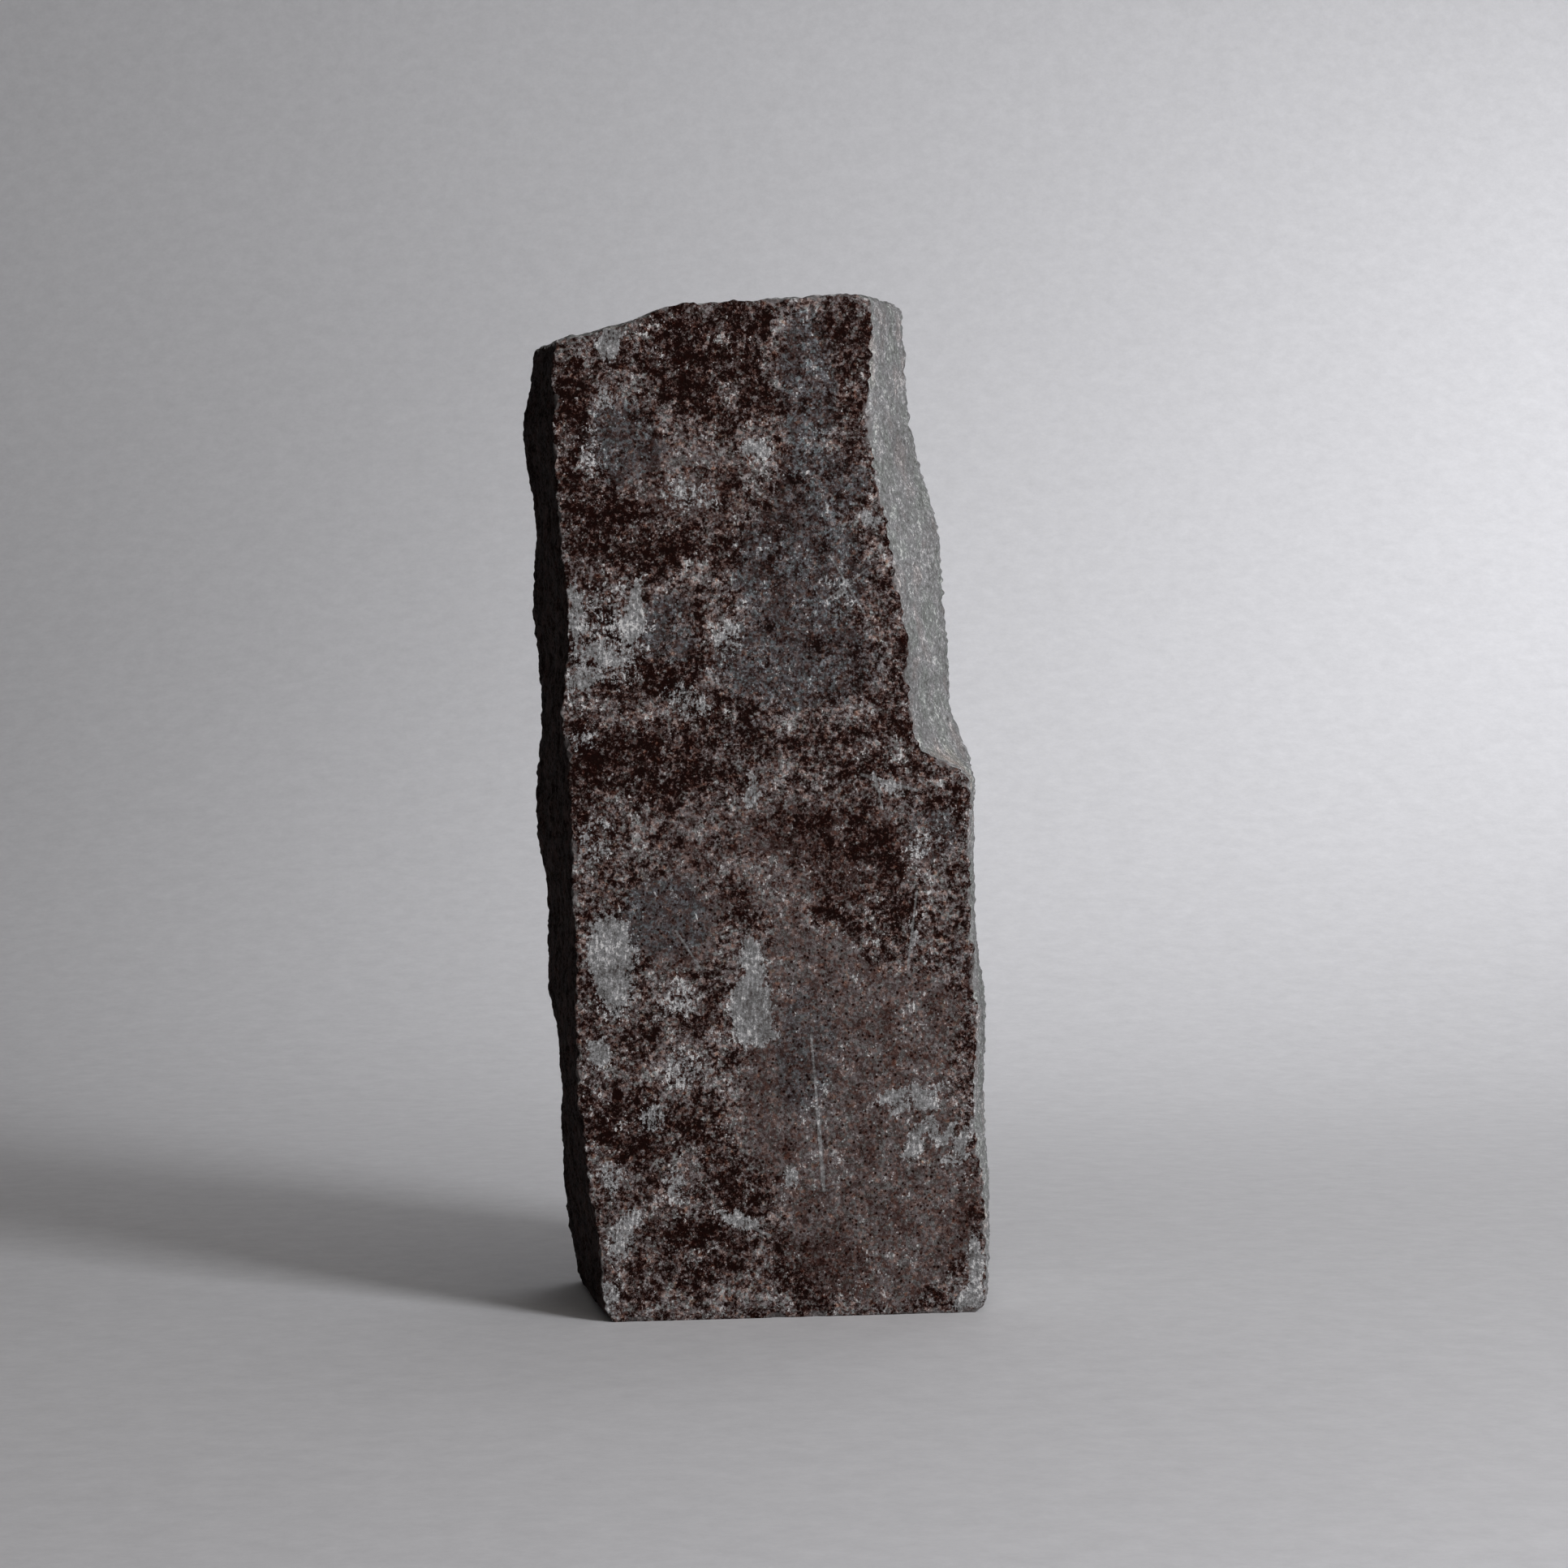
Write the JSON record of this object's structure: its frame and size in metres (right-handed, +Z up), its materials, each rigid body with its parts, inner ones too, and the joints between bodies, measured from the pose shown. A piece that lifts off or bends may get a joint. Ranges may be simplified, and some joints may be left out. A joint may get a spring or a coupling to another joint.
{
  "type": "split stone block",
  "caption": "Rough-split block of dark volcanic rock that stands on its end, with a flat weathered face and pale broken sides.",
  "frame": {"origin": "middle of the block's footprint, on the surface that it stands on", "axes": "+Z up along the block's length, -Y out of the flat cleft face, +X to the right of a person looking at that face"},
  "size_m": [0.1534, 0.0896, 0.3305],
  "materials": {
    "stone": "dark brown to blue-grey weathered skin on the cleft faces, pale grey crystalline break on the right side, matt"
  },
  "bodies": {
    "root": {"stone_block": "stone"}
  },
  "joints": []
}
